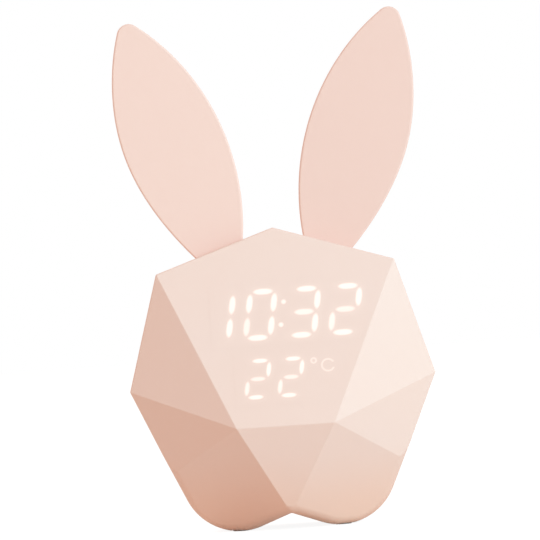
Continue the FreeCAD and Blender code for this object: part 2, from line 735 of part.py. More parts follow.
def ribbon_cable():
    """Flat cable from the display board to the main board."""
    x, up = DISPLAY_PLUG_AT
    out = -WALL - MASK_GAP - MASK_DEPTH - BOARD_THICKNESS - DISPLAY_PLUG[2]
    start = face_point(x, up, out)
    end = Vector(x, MAIN_Y - RIBBON_PLUG_DEPTH, PLUG_Z)
    bow, rise = RIBBON_BOW
    points = [start, face_point(x, up, out - RIBBON_STRAIGHT), end + Vector(0, -bow, rise),
              end - Vector(0, RIBBON_STRAIGHT, 0), end]
    path = rounded_path(points)
    direction = points[1] - points[0]
    strip = Part.makePlane(RIBBON_WIDTH, RIBBON_THICKNESS)
    strip.translate(Vector(-RIBBON_WIDTH / 2, -RIBBON_THICKNESS / 2, 0))
    strip.Placement = Placement(start, Rotation(Vector(0, 0, 1), direction)).multiply(strip.Placement)
    return path.makePipeShell([strip.OuterWire], True, False)


def main_board_parts():
    half = MAIN_HALF_WIDTH
    board = box(-half, half, MAIN_Y, MAIN_REAR, MAIN_BOTTOM, MAIN_TOP)
    screws = []
    for x, z in both_sides(MAIN_POSTS):
        board = board.cut(rod(SMALL_BORE_R, x, z, MAIN_Y, MAIN_REAR))
        screws.append(small_screw(x, z, MAIN_Y))
    save("main_board", board)
    save("main_board_screws", *screws)
    x, z = CHIP_AT
    half = CHIP_SIDE / 2
    save("controller_chip", box(x - half, x + half, MAIN_REAR, MAIN_REAR + CHIP_HEIGHT, z - half, z + half))
    x, z = CRYSTAL_AT
    crystal = Part.makeCylinder(CRYSTAL_R, CRYSTAL_LENGTH, Vector(x, MAIN_REAR + CRYSTAL_R, z), Vector(1, 0, 0))
    save("clock_crystal", crystal)
    x, z = MICROPHONE_AT
    save("microphone", rod(MICROPHONE_R, x, z, MAIN_REAR, MAIN_REAR + MICROPHONE_HEIGHT))
    plugs = [("battery_plug", BATTERY_PLUG_X, PLUG_WIDTH, PLUG_DEPTH),
             ("speaker_plug", SPEAKER_PLUG_X, PLUG_WIDTH, PLUG_DEPTH),
             ("night_light_plug", NIGHT_PLUG_X, PLUG_WIDTH, PLUG_DEPTH),
             ("ribbon_connector", DISPLAY_PLUG_AT[0], DISPLAY_PLUG[0], RIBBON_PLUG_DEPTH)]
    for name, x, width, depth in plugs:
        save(name, box(x - width / 2, x + width / 2, MAIN_Y - depth, MAIN_Y,
                       PLUG_Z - PLUG_HEIGHT / 2, PLUG_Z + PLUG_HEIGHT / 2))


def small_screw(x, z, front):
    """Board screw driven towards +Y, with its head on the board's front."""
    return rod(SMALL_SHANK_R, x, z, front, front + SMALL_LENGTH).fuse(
        rod(SMALL_HEAD_R, x, z, front - SMALL_HEAD, front))


def usb_parts():
    front = MAIN_REAR
    rear = REAR_Y - USB_REAR_GAP
    half = USB_WIDTH / 2
    rise = USB_HEIGHT / 2
    body = box(-half, half, front, rear, USB_Z - rise, USB_Z + rise)
    room = box(USB_SKIN - half, half - USB_SKIN, front + USB_TONGUE_BACK, rear,
               USB_Z - rise + USB_SKIN, USB_Z + rise - USB_SKIN)
    save("usb_port", body.cut(room))
    wide, thick = USB_TONGUE
    save("usb_tongue", box(-wide / 2, wide / 2, front + USB_TONGUE_BACK, rear - USB_TONGUE_BACK,
                           USB_Z - thick / 2, USB_Z + thick / 2))


def button_parts():
    rest = WALL_Y - FLANGE_GAP
    switch_top = MAIN_REAR + SWITCH_HEIGHT
    plunger_end = switch_top + PLUNGER_PROUD
    half = SWITCH_SIDE / 2
    switches = []
    for x, name in button_places():
        cap = rod(BUTTON_R, x, BUTTON_Z, rest - FLANGE, REAR_Y - BUTTON_SUNK)
        cap = cap.makeFillet(BUTTON_EDGE_R, [e for e in cap.Edges if e.CenterOfMass.y > WALL_Y])
        cap = cap.fuse(rod(FLANGE_R, x, BUTTON_Z, rest - FLANGE, rest))
        cap = cap.fuse(rod(STEM_R, x, BUTTON_Z, plunger_end, rest - FLANGE))
        save(name + "_button", cap.removeSplitter())
        save(name + "_plunger", rod(PLUNGER_R, x, BUTTON_Z, plunger_end - PLUNGER_LENGTH, plunger_end))
        switch = box(x - half, x + half, MAIN_REAR, switch_top, BUTTON_Z - half, BUTTON_Z + half)
        well = rod(PLUNGER_R + PLUNGER_FIT, x, BUTTON_Z, switch_top - PLUNGER_SINK, switch_top)
        switches.append(switch.cut(well))
    save("button_switches", *switches)


def speaker_parts():
    rim_rear = WALL_Y - GASKET
    rim_front = rim_rear - SPEAKER_RIM
    basket_front = rim_front - SPEAKER_BASKET
    magnet_front = basket_front - SPEAKER_MAGNET
    rim = rod(SPEAKER_R, 0, SPEAKER_Z, rim_front, rim_rear)
    basket = Part.makeCone(SPEAKER_MAGNET_R, SPEAKER_R, SPEAKER_BASKET, Vector(0, basket_front, SPEAKER_Z),
                           Vector(0, 1, 0))
    magnet = rod(SPEAKER_MAGNET_R, 0, SPEAKER_Z, magnet_front, basket_front)
    well = rod(CONE_R, 0, SPEAKER_Z, rim_rear - CONE_DEPTH, rim_rear)
    save("speaker", rim.fuse(basket).fuse(magnet).cut(well).removeSplitter())
    cone_front = rim_rear - CONE_DEPTH
    cone = Part.makeCone(CONE_HUB_R, CONE_R, CONE_DEPTH, Vector(0, cone_front, SPEAKER_Z), Vector(0, 1, 0))
    hollow = Part.makeCone(CONE_HUB_R, CONE_R, CONE_DEPTH, Vector(0, cone_front + CONE_SKIN, SPEAKER_Z),
                           Vector(0, 1, 0))
    save("speaker_cone", cone.cut(hollow))
    save("speaker_gasket", rod(SPEAKER_R, 0, SPEAKER_Z, rim_rear, WALL_Y).cut(
        rod(CONE_R, 0, SPEAKER_Z, rim_rear, WALL_Y)))
    return magnet_front


def night_light_parts():
    half = NIGHT_HALF_WIDTH
    rise = NIGHT_HEIGHT / 2
    rear = NIGHT_Y + BOARD_THICKNESS
    board = box(-half, half, NIGHT_Y, rear, NIGHT_Z - rise, NIGHT_Z + rise)
    screws = []
    for side in SIDES:
        board = board.cut(rod(SMALL_BORE_R, side * NIGHT_POST_X, NIGHT_Z, NIGHT_Y, rear))
        screws.append(small_screw(side * NIGHT_POST_X, NIGHT_Z, NIGHT_Y))
    save("night_light_board", board)
    save("night_light_screws", *screws)
    leds = []
    half = NIGHT_LED_SIDE / 2
    for i in range(NIGHT_LED_COUNT):
        x = (i - (NIGHT_LED_COUNT - 1) / 2) * NIGHT_LED_PITCH
        leds.append(box(x - half, x + half, NIGHT_Y - NIGHT_LED_HEIGHT, NIGHT_Y, NIGHT_Z - half, NIGHT_Z + half))
    save("night_light_leds", *leds)
    half = DIFFUSER_WIDTH / 2
    rise = DIFFUSER_HEIGHT / 2
    front = NIGHT_Y - DIFFUSER_DEPTH
    cover = box(-half, half, front, NIGHT_Y, NIGHT_Z - rise, NIGHT_Z + rise)
    room = box(DIFFUSER_WALL - half, half - DIFFUSER_WALL, front + DIFFUSER_WALL, NIGHT_Y,
               NIGHT_Z - rise + DIFFUSER_WALL, NIGHT_Z + rise - DIFFUSER_WALL)
    save("light_diffuser", cover.cut(room))


def battery_parts():
    half = BATTERY_WIDTH / 2
    rise = BATTERY_HEIGHT / 2
    rear = MAIN_Y - PAD_THICKNESS
    cell = box(-half, half, rear - BATTERY_THICKNESS, rear, BATTERY_Z - rise, BATTERY_Z + rise)
    cell = cell.makeFillet(BATTERY_EDGE_R, [e for e in cell.Edges if abs(e.tangentAt(0).z) > 0.9])
    save("battery", cell)
    save("battery_pad", box(PAD_INSET - half, half - PAD_INSET, rear, MAIN_Y, BATTERY_Z - rise + PAD_INSET,
                            BATTERY_Z + rise - PAD_INSET))


def leads(speaker_front):
    top = BATTERY_Z + BATTERY_HEIGHT / 2
    cell_y = MAIN_Y - PLUG_DEPTH + 2 * LEAD_R
    plug_side = BATTERY_PLUG_X - PLUG_WIDTH / 2
    pair = []
    for side in SIDES:
        z = PLUG_Z + side * LEAD_SPACING / 2
        x = plug_side - BATTERY_LEAD_RUN - side * LEAD_SPACING
        pair.append(lead([Vector(x, cell_y, top), Vector(x, cell_y, z), Vector(plug_side, cell_y, z)], LEAD_R))
    save("battery_leads", *pair)
    plug_top = PLUG_Z + PLUG_HEIGHT / 2
    plug_y = MAIN_Y - PLUG_DEPTH / 2
    tag_y = speaker_front + SPEAKER_MAGNET + SPEAKER_TAG_GAP
    tag_z = SPEAKER_Z - SPEAKER_TAG_DROP
    over_top = [Vector(SPEAKER_TAG_X, tag_y, tag_z), Vector(SPEAKER_TAG_X, MAIN_Y, tag_z),
                Vector(SPEAKER_PLUG_X, plug_y, SPEAKER_Z - LEAD_DROP), Vector(SPEAKER_PLUG_X, plug_y, plug_top)]
    save("speaker_leads", *[lead(shifted(over_top, Vector(s * LEAD_SPACING / 2, 0, 0)), LEAD_R) for s in SIDES])
    night_rear = NIGHT_Y + BOARD_THICKNESS
    tag_z = NIGHT_Z - NIGHT_TAG_DROP
    drop = [Vector(NIGHT_TAG_X, night_rear, tag_z), Vector(NIGHT_TAG_X, night_rear + NIGHT_LEAD_RUN, tag_z),
            Vector(NIGHT_PLUG_X, plug_y, NIGHT_Z - LEAD_DROP), Vector(NIGHT_PLUG_X, plug_y, plug_top)]
    save("night_light_leads", *[lead(shifted(drop, Vector(s * LEAD_SPACING / 2, 0, 0)), LEAD_R) for s in SIDES])


def temperature_sensor():
    bead = Part.makeSphere(SENSOR_R, Vector(0, SENSOR_Y, SENSOR_Z))
    foot_z = MAIN_BOTTOM + SENSOR_FOOT_RISE
    legs = []
    for side in SIDES:
        x = side * SENSOR_LEG_SPACING / 2
        points = [Vector(x, MAIN_REAR, foot_z), Vector(x, SENSOR_Y, foot_z), Vector(x, SENSOR_Y, SENSOR_Z)]
        legs.append(lead(points, SENSOR_LEG_R).cut(bead))
    save("temperature_sensor", bead)
    save("sensor_legs", *legs)


def main():
    os.makedirs("parts", exist_ok=True)
    outer = outer_head()
    cavity = head(WALL)
    save("front_shell", front_shell(outer, cavity))
    save("rear_shell", rear_shell(outer, cavity))
    ear = ear_plate()
    save("right_ear", ear)
    save("left_ear", mirrored(ear))
    save("shell_screws", *[shell_screw(x, z) for x, z in both_sides(SCREW_PLACES)])
    save("foot_pads", *[foot_pad(side, y, 0) for y in PAD_ROWS for side in SIDES])
    display_parts()
    save("ribbon_cable", ribbon_cable())
    main_board_parts()
    usb_parts()
    button_parts()
    speaker_front = speaker_parts()
    night_light_parts()
    battery_parts()
    leads(speaker_front)
    temperature_sensor()
    magnet_y = WALL_Y - MAGNET_THICKNESS
    save("rear_magnets", *[rod(MAGNET_R, s * MAGNET_X, MAGNET_Z, magnet_y, WALL_Y) for s in SIDES])


main()
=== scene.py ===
import bpy
import bmesh
import math
from mathutils import Matrix, Vector


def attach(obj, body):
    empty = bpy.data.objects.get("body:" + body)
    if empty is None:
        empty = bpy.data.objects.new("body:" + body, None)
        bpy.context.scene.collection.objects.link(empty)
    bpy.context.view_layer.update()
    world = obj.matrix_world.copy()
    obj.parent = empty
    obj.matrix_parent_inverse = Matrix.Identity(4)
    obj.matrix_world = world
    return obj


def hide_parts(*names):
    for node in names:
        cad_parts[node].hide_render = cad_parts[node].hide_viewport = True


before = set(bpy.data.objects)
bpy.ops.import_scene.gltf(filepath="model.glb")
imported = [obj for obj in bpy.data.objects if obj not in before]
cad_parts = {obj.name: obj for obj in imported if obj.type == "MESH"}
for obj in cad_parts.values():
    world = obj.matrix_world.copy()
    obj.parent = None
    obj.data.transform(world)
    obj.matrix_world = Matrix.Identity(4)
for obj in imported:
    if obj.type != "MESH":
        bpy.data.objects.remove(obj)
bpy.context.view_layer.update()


# Camera and light
# The clock is seen straight from the front, a little rolled, against plain white. A broad lamp
# stands to the right and a second one behind, and the world fills the shade with warm light.

FRAME_PX = 540
MM_PER_PX = 0.344
SCALE_PLANE_Y = -0.010
SENSOR_MM = 36.0
CAMERA_FAR = 1.5
CAMERA_HEIGHT = 0.08965
CAMERA_SIDE = -0.00175
CAMERA_ROLL = math.radians(3.9)


def placed(name, data):
    """Object that holds the data, put in the scene."""
    item = bpy.data.objects.new(name, data)
    bpy.context.scene.collection.objects.link(item)
    return item


camera_data = bpy.data.cameras.new("camera")
camera_data.sensor_width = SENSOR_MM
shown_width = FRAME_PX * MM_PER_PX / 1000
camera_data.lens = SENSOR_MM * (CAMERA_FAR + SCALE_PLANE_Y) / shown_width
camera = placed("camera", camera_data)
camera.location = (CAMERA_SIDE, -CAMERA_FAR, CAMERA_HEIGHT)
camera.rotation_euler = (math.radians(90), CAMERA_ROLL, 0)
bpy.context.scene.camera = camera
bpy.context.scene.view_settings.view_transform = "Standard"

# Each lamp has its turn from the front towards the right and its rise, in degrees, and its watts.
LAMPS = [("right_softbox", 42.0, 17.0, 30.0), ("rear_softbox", 215.0, 35.0, 13.0)]
LAMP_AIM = Vector((0, 0, 0.07))
LAMP_FAR = 2.0
LAMP_SIZE = 0.7
LAMP_COLOR = (0.45, 0.87, 1.04)

for name, turn_deg, rise_deg, watts in LAMPS:
    turn = math.radians(turn_deg)
    rise = math.radians(rise_deg)
    away = Vector((math.sin(turn) * math.cos(rise), -math.cos(turn) * math.cos(rise),
                   math.sin(rise)))
    lamp_data = bpy.data.lights.new(name, "AREA")
    lamp_data.shape = "DISK"
    lamp_data.size = LAMP_SIZE
    lamp_data.energy = watts
    lamp_data.color = LAMP_COLOR
    lamp = placed(name, lamp_data)
    lamp.location = LAMP_AIM + away * LAMP_FAR
    lamp.rotation_euler = away.to_track_quat("Z", "Y").to_euler()

FILL_COLOR = (1.0, 0.725, 0.605, 1)
FILL_LEVEL = 0.71


def show_apart(tree, lighting, seen, output):
    """Lights the clock with one shader, and shows another to the camera, in gloss and in glass."""
    path = tree.nodes.new("ShaderNodeLightPath")
    seen_ray = path.outputs["Is Camera Ray"]
    for ray in ("Is Glossy Ray", "Is Transmission Ray"):
        either = tree.nodes.new("ShaderNodeMath")
        either.operation = "MAXIMUM"
        tree.links.new(seen_ray, either.inputs[0])
        tree.links.new(path.outputs[ray], either.inputs[1])
        seen_ray = either.outputs["Value"]
    choice = tree.nodes.new("ShaderNodeMixShader")
    tree.links.new(seen_ray, choice.inputs["Fac"])
    tree.links.new(lighting, choice.inputs[1])
    tree.links.new(seen, choice.inputs[2])
    tree.links.new(choice.outputs["Shader"], output.inputs["Surface"])


world = bpy.data.worlds.new("studio")
bpy.context.scene.world = world
world.use_nodes = True
tree = world.node_tree
fill = tree.nodes["Background"]
fill.inputs["Color"].default_value = FILL_COLOR
fill.inputs["Strength"].default_value = FILL_LEVEL
white = tree.nodes.new("ShaderNodeBackground")
white.inputs["Color"].default_value = (1, 1, 1, 1)
show_apart(tree, fill.outputs["Background"], white.outputs["Background"],
           tree.nodes["World Output"])


# Floor
# A plain pale table top, which is no part of the clock and has no edge in view. The camera sees
# it as white, and it still takes the clock's shadow and lights its underside.

FLOOR_HALF = 3.0
FLOOR_GLOW = 0.91
FLOOR_SHADE = (0.2, 0.2, 0.2, 1)
FLOOR_TINT = (0.84, 0.70, 0.62, 1)

floor_mesh = bpy.data.meshes.new("floor")
bm = bmesh.new()
bmesh.ops.create_grid(bm, x_segments=1, y_segments=1, size=FLOOR_HALF)
bm.to_mesh(floor_mesh)
bm.free()
floor = placed("floor", floor_mesh)
floor_paint = bpy.data.materials.new("floor_paint")
floor_paint.use_nodes = True
tree = floor_paint.node_tree
tree.nodes.remove(tree.nodes["Principled BSDF"])
glow = tree.nodes.new("ShaderNodeEmission")
glow.inputs["Strength"].default_value = FLOOR_GLOW
shade = tree.nodes.new("ShaderNodeBsdfDiffuse")
shade.inputs["Color"].default_value = FLOOR_SHADE
bounce = tree.nodes.new("ShaderNodeBsdfDiffuse")
bounce.inputs["Color"].default_value = FLOOR_TINT
pale = tree.nodes.new("ShaderNodeAddShader")
tree.links.new(glow.outputs["Emission"], pale.inputs[0])
tree.links.new(shade.outputs["BSDF"], pale.inputs[1])
show_apart(tree, bounce.outputs["BSDF"], pale.outputs["Shader"], tree.nodes["Material Output"])
floor_mesh.materials.append(floor_paint)


# Shells
# Front and rear moulding of satin pink plastic, slightly milky, with a very fine grain. The rear
# one's tongue sits in the front one, and four screws from behind hold the two together.

SHELL_PINK = (0.91, 0.70, 0.62)
# The deeper pink serves both the cloudy tone and the painted shade near the base.
SHELL_DEEP_AND_SHADED = (0.94, 0.64, 0.51)
SHELL_ROUGHNESS = 0.58
SHEEN = 0.12
# Below this height the colour runs into the deeper pink: painted warm shade and floor bounce near
# the base.
PAINTED_SHADE_HEIGHT = 0.03
ABOVE_SHADE_LEVEL = 0.8
CLOUD_SCALE = 28.0
CLOUD_SHARE = 0.25
WEAR_SCALE = 160.0
WEAR_SPREAD = 0.05
GRAIN_SCALE = 2600.0
GRAIN_DEPTH = 0.00004
GRAIN_STRENGTH = 0.12
FLAT_WITHIN = math.radians(0.3)
CREASE_FROM = math.radians(30)
MERGE_WITHIN = 1e-7
FACET_WEIGHT = 100


def noise_on(tree, scale, detail):
    """Noise in the piece's own coordinates, with so many cells to the metre."""
    place = tree.nodes.new("ShaderNodeTexCoord")
    noise = tree.nodes.new("ShaderNodeTexNoise")
    noise.inputs["Scale"].default_value = scale
    noise.inputs["Detail"].default_value = detail
    tree.links.new(place.outputs["Object"], noise.inputs["Vector"])
    return noise.outputs["Fac"]


def tint_between(tree, factor, first, second):
    """Colour that runs from one tone to another with a factor."""
    mix = tree.nodes.new("ShaderNodeMix")
    mix.data_type = "RGBA"
    mix.inputs[6].default_value = (*first, 1)
    mix.inputs[7].default_value = (*second, 1)
    tree.links.new(factor, mix.inputs["Factor"])
    tree.links.new(mix.outputs[2], tree.nodes["Principled BSDF"].inputs["Base Color"])


def gloss_between(tree, factor, least, most):
    """Roughness that runs from one value to another with a factor."""
    spread = tree.nodes.new("ShaderNodeMapRange")
    spread.inputs["To Min"].default_value = least
    spread.inputs["To Max"].default_value = most
    tree.links.new(factor, spread.inputs["Value"])
    tree.links.new(spread.outputs["Result"], tree.nodes["Principled BSDF"].inputs["Roughness"])


def moulded_plastic(name, color, deep_and_shaded_color, roughness):
    """Satin plastic: cloudy, with fine grain and uneven gloss, and a painted shade that deepens
    its colour near the base.
    """
    paint = bpy.data.materials.new(name)
    paint.use_nodes = True
    tree = paint.node_tree
    shader = tree.nodes["Principled BSDF"]
    shader.inputs["Specular IOR Level"].default_value = SHEEN
    place = tree.nodes.new("ShaderNodeTexCoord")
    split = tree.nodes.new("ShaderNodeSeparateXYZ")
    # The height mask paints shade and floor bounce near the base, and the cloudy tone is mixed
    # into it.
    height = tree.nodes.new("ShaderNodeMapRange")
    height.interpolation_type = "SMOOTHSTEP"
    height.inputs["From Max"].default_value = PAINTED_SHADE_HEIGHT
    height.inputs["To Max"].default_value = ABOVE_SHADE_LEVEL
    tone = tree.nodes.new("ShaderNodeMath")
    tone.operation = "MULTIPLY_ADD"
    tone.use_clamp = True
    tone.inputs[1].default_value = CLOUD_SHARE
    tree.links.new(place.outputs["Object"], split.inputs["Vector"])
    tree.links.new(split.outputs["Z"], height.inputs["Value"])
    tree.links.new(noise_on(tree, CLOUD_SCALE, 2.0), tone.inputs[0])
    tree.links.new(height.outputs["Result"], tone.inputs[2])
    tint_between(tree, tone.outputs["Value"], deep_and_shaded_color, color)
    gloss_between(tree, noise_on(tree, WEAR_SCALE, 3.0),
                  roughness - WEAR_SPREAD, roughness + WEAR_SPREAD)
    bump = tree.nodes.new("ShaderNodeBump")
    bump.inputs["Strength"].default_value = GRAIN_STRENGTH
    bump.inputs["Distance"].default_value = GRAIN_DEPTH
    tree.links.new(noise_on(tree, GRAIN_SCALE, 1.0), bump.inputs["Height"])
    tree.links.new(bump.outputs["Normal"], shader.inputs["Normal"])
    return paint


def smooth_copy(name, paint):
    """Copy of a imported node, merged and shaded smooth up to its creases, in the node's place."""
    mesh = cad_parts[name].data.copy()
    bm = bmesh.new()
    bm.from_mesh(mesh)
    bmesh.ops.remove_doubles(bm, verts=bm.verts, dist=MERGE_WITHIN)
    bmesh.ops.dissolve_limit(bm, angle_limit=FLAT_WITHIN, verts=bm.verts, edges=bm.edges)
    bm.to_mesh(mesh)
    bm.free()
    mesh.materials.clear()
    mesh.materials.append(paint)
    mesh.shade_smooth()
    mesh.set_sharp_from_angle(angle=CREASE_FROM)
    piece = placed(name + "_moulding", mesh)
    even = piece.modifiers.new("even_facets", "WEIGHTED_NORMAL")
    even.keep_sharp = True
    even.weight = FACET_WEIGHT
    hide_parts(name)
    return piece


shell_plastic = moulded_plastic("shell_plastic", SHELL_PINK, SHELL_DEEP_AND_SHADED, SHELL_ROUGHNESS)
for name, slot in (("front_shell", "pink_shell"), ("rear_shell", "pink_rear")):
    piece = smooth_copy(name, shell_plastic)
    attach(piece, "housing")


# Ears
# Two flat plates of the same plastic, a little warmer in tone, with rounded rims. Each is moulded
# in one with a tab, which plugs into a slot in a top facet and pulls out by hand.

# The right ear's pink is darker than the left one's as painted shade, since both are the same
# plastic.
EAR_PINKS_WITH_PAINTED_SHADE = {"left_ear": (0.94, 0.685, 0.60), "right_ear": (0.895, 0.63, 0.548)}
EAR_DEEPER = 0.97

for name, pink in EAR_PINKS_WITH_PAINTED_SHADE.items():
    deep_pink = [level * EAR_DEEPER for level in pink]
    ear_plastic = moulded_plastic(name + "_plastic", pink, deep_pink, SHELL_ROUGHNESS)
    piece = smooth_copy(name, ear_plastic)
    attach(piece, name)


# Lit display
# The strokes of the time and the temperature shine through the face, so their light has soft
# rims and a faint halo. Two thin sheets on the face carry it: large strokes above, small below.

FACE_FOOT = Vector((0, -0.030, 0.0366))
FACE_LEAN = math.radians(19)
FACE_HALF = 0.01675
FACE_SPREAD = 0.4225
FACE_RIM = 0.0012
STROKE_LEAN = math.tan(math.radians(9.7))

# Across and up the face: figures by their middle, then each figure's size and half its stroke.
TIME_UP = 0.0402
TIME_PLACES = [("1", -0.0204), ("0", -0.0061), ("3", 0.0089), ("2", 0.0231)]
TIME_SIZE = (0.0084, 0.0165)
TIME_STROKE = (0.0033, 0.00105)
HEAT_UP = 0.0172
HEAT_PLACES = [("2", -0.00835), ("2", 0.00295)]
HEAT_SIZE = (0.0067, 0.0129)
HEAT_STROKE = (0.0025, 0.00075)

# Round marks by their place and radius: the colon's two dots, the degree ring and the letter C.
COLON_ACROSS = 0.00145
COLON_STEP = 0.0041
COLON_R = 0.0008
COLON_LEVEL = 0.85
DEGREE = (0.0110, 0.0225, 0.00085)
LETTER = (0.0158, 0.0206, 0.0021)
LETTER_GAP = 0.001
UNIT_STROKE = 0.00022
UNIT_LEVEL = 0.62

# Light over a stroke: full inside, eased down over its rim, with a halo around it.
END_TAPER = 2.7
SIDE_TAPER = 1.8
FADE_END = 1.5
FADE_SPAN = 1.1
HALO = 0.07
HALO_REACH = 3.0
RIM = 0.0003
FAINT = {("0", "lower_left"): 0.8, ("3", "middle"): 0.85, ("2", "middle"): 0.75,
         ("2", "lower_left"): 0.85}

# Each sheet by its left, its right and half its height, on both sides of its figures' middle.
TIME_SHEET = (-0.0235, 0.0315, 0.0115)
HEAT_SHEET = (-0.0165, 0.0215, 0.0098)
SHEET_LIFT = 0.00004
SHEET_CELL = 0.00024
SHEET_FADE = 0.002
GLOW_COLOR = (1.0, 1.0, 0.985, 1)
GLOW_LEVEL = 0.31

SEGMENTS = {
    "top": ((-1, 1), (1, 1)), "middle": ((-1, 0), (1, 0)), "bottom": ((-1, -1), (1, -1)),
    "upper_left": ((-1, 0), (-1, 1)), "lower_left": ((-1, -1), (-1, 0)),
    "upper_right": ((1, 0), (1, 1)), "lower_right": ((1, -1), (1, 0)),
}
LIT = {
    "0": ["top", "bottom", "upper_left", "lower_left", "upper_right", "lower_right"],
    "1": ["upper_right", "lower_right"],
    "2": ["top", "upper_right", "middle", "lower_left", "bottom"],
    "3": ["top", "upper_right", "middle", "lower_right", "bottom"],
}


def strokes_of(places, up, size, stroke):
    """Lit strokes of a row of figures: middle, direction, half length, half width and level."""
    strokes = []
    for figure, across in places:
        for segment in LIT[figure]:
            ends = []
            for side, level in SEGMENTS[segment]:
                rise = level * size[1] / 2
                ends.append(Vector((across + side * size[0] / 2 + rise * STROKE_LEAN, up + rise)))
            along = (ends[1] - ends[0]).normalized()
            strokes.append(((ends[0] + ends[1]) / 2, along, *stroke,
                            FAINT.get((figure, segment), 1.0)))
    return strokes


def eased(level):
    """Soft step from 0 to 1."""
    level = min(max(level, 0.0), 1.0)
    return level * level * (3 - 2 * level)


def stroke_light(point, middle, along, half_length, half_width, level):
    """Light of a lens-shaped stroke at a point: full in its middle, fading softly at its rim."""
    offset = point - middle
    run = abs(offset.dot(along)) / half_length
    side = abs(offset.x * along.y - offset.y * along.x) / half_width
    inside = run ** END_TAPER + side ** SIDE_TAPER
    halo = HALO * math.exp(-max(inside - 1.0, 0.0) / HALO_REACH)
    return max(level * eased((FADE_END - inside) / FADE_SPAN), halo)


def mark_light(distance):
    """Light of a round mark at a distance from its outline, fading softly over its rim."""
    return eased((RIM - distance) / (2 * RIM))


time_strokes = strokes_of(TIME_PLACES, TIME_UP, TIME_SIZE, TIME_STROKE)
heat_strokes = strokes_of(HEAT_PLACES, HEAT_UP, HEAT_SIZE, HEAT_STROKE)


def time_light(point):
    """Light of the time and of the two dots in its middle."""
    light = max(stroke_light(point, *stroke) for stroke in time_strokes)
    for rise in (-COLON_STEP, COLON_STEP):
        dot = Vector((COLON_ACROSS + rise * STROKE_LEAN, TIME_UP + rise))
        light = max(light, COLON_LEVEL * mark_light((point - dot).length - COLON_R))
    return light


def heat_light(point):
    """Light of the temperature, of its degree ring and of its C, a ring open to the right."""
    light = max(stroke_light(point, *stroke) for stroke in heat_strokes)
    for mark in (DEGREE, LETTER):
        away = point - Vector(mark[:2])
        if mark is DEGREE or away.x <= 0 or abs(away.y) >= LETTER_GAP:
            ring = mark_light(abs(away.length - mark[2]) - UNIT_STROKE)
            light = max(light, UNIT_LEVEL * ring)
    return light


def light_sheet(name, sheet, up, light_at):
    """Thin sheet on the face, with the light at each point written in an attribute."""
    left, right, half_height = sheet
    low = up - half_height
    high = up + half_height
    bm = bmesh.new()
    bmesh.ops.create_grid(bm, x_segments=round((right - left) / SHEET_CELL),
                          y_segments=round((high - low) / SHEET_CELL), size=0.5)
    layer = bm.verts.layers.float.new("light")
    for vert in bm.verts:
        vert.co.x = left + (vert.co.x + 0.5) * (right - left)
        vert.co.y = low + (vert.co.y + 0.5) * (high - low)
        vert.co.z = SHEET_LIFT
        rim = min(vert.co.x - left, right - vert.co.x, vert.co.y - low, high - vert.co.y)
        vert[layer] = light_at(vert.co.xy) * min(rim / SHEET_FADE, 1.0)
    outside = [vert for vert in bm.verts
               if abs(vert.co.x) > FACE_HALF + vert.co.y * FACE_SPREAD - FACE_RIM]
    bmesh.ops.delete(bm, geom=outside, context="VERTS")
    tilt = Matrix.Rotation(math.radians(90) - FACE_LEAN, 4, "X")
    bmesh.ops.transform(bm, matrix=Matrix.Translation(FACE_FOOT) @ tilt, verts=bm.verts)
    mesh = bpy.data.meshes.new(name)
    bm.to_mesh(mesh)
    bm.free()
    return placed(name, mesh)


lit_plastic = shell_plastic.copy()
lit_plastic.name = "lit_plastic"
tree = lit_plastic.node_tree
shader = tree.nodes["Principled BSDF"]
shader.inputs["Emission Color"].default_value = GLOW_COLOR
light = tree.nodes.new("ShaderNodeAttribute")
light.attribute_name = "light"
glow = tree.nodes.new("ShaderNodeMath")
glow.operation = "MULTIPLY"
glow.inputs[1].default_value = GLOW_LEVEL
tree.links.new(light.outputs["Fac"], glow.inputs[0])
tree.links.new(glow.outputs["Value"], shader.inputs["Emission Strength"])

for piece in (light_sheet("lit_time", TIME_SHEET, TIME_UP, time_light),
              light_sheet("lit_temperature", HEAT_SHEET, HEAT_UP, heat_light)):
    piece.data.materials.append(lit_plastic)
    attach(piece, "housing")


# Display unit
# Behind the face sits a black mask that keeps the strokes apart, with a clear guide in each. A
# green board with an LED behind every guide is screwed over it, and a flat cable leads off it.

CLOUD_DEPTH = 0.12
GLOSS_SHARE = 0.15
MILLED_SCALE = 120.0
FINE_SCALE = 300.0
METAL_SCALE = 500.0
PAPER_SCALE = 900.0


def plain_finish(name, color, roughness, metallic=0.0, scale=MILLED_SCALE):
    """Finish with a cloudy tone and gloss, for the small pieces."""
    paint = bpy.data.materials.new(name)
    paint.use_nodes = True
    tree = paint.node_tree
    tree.nodes["Principled BSDF"].inputs["Metallic"].default_value = metallic
    cloud = noise_on(tree, scale, 3.0)
    tint_between(tree, cloud, [level * (1 - CLOUD_DEPTH) for level in color], color)
    gloss_between(tree, cloud, roughness * (1 - GLOSS_SHARE),
                  min(1.0, roughness * (1 + GLOSS_SHARE)))
    return paint


def dress(paint, *names):
    """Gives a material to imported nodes, in their own slots."""
    for name in names:
        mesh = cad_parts[name].data
        if mesh.materials:
            mesh.materials[0] = paint
        else:
            mesh.materials.append(paint)


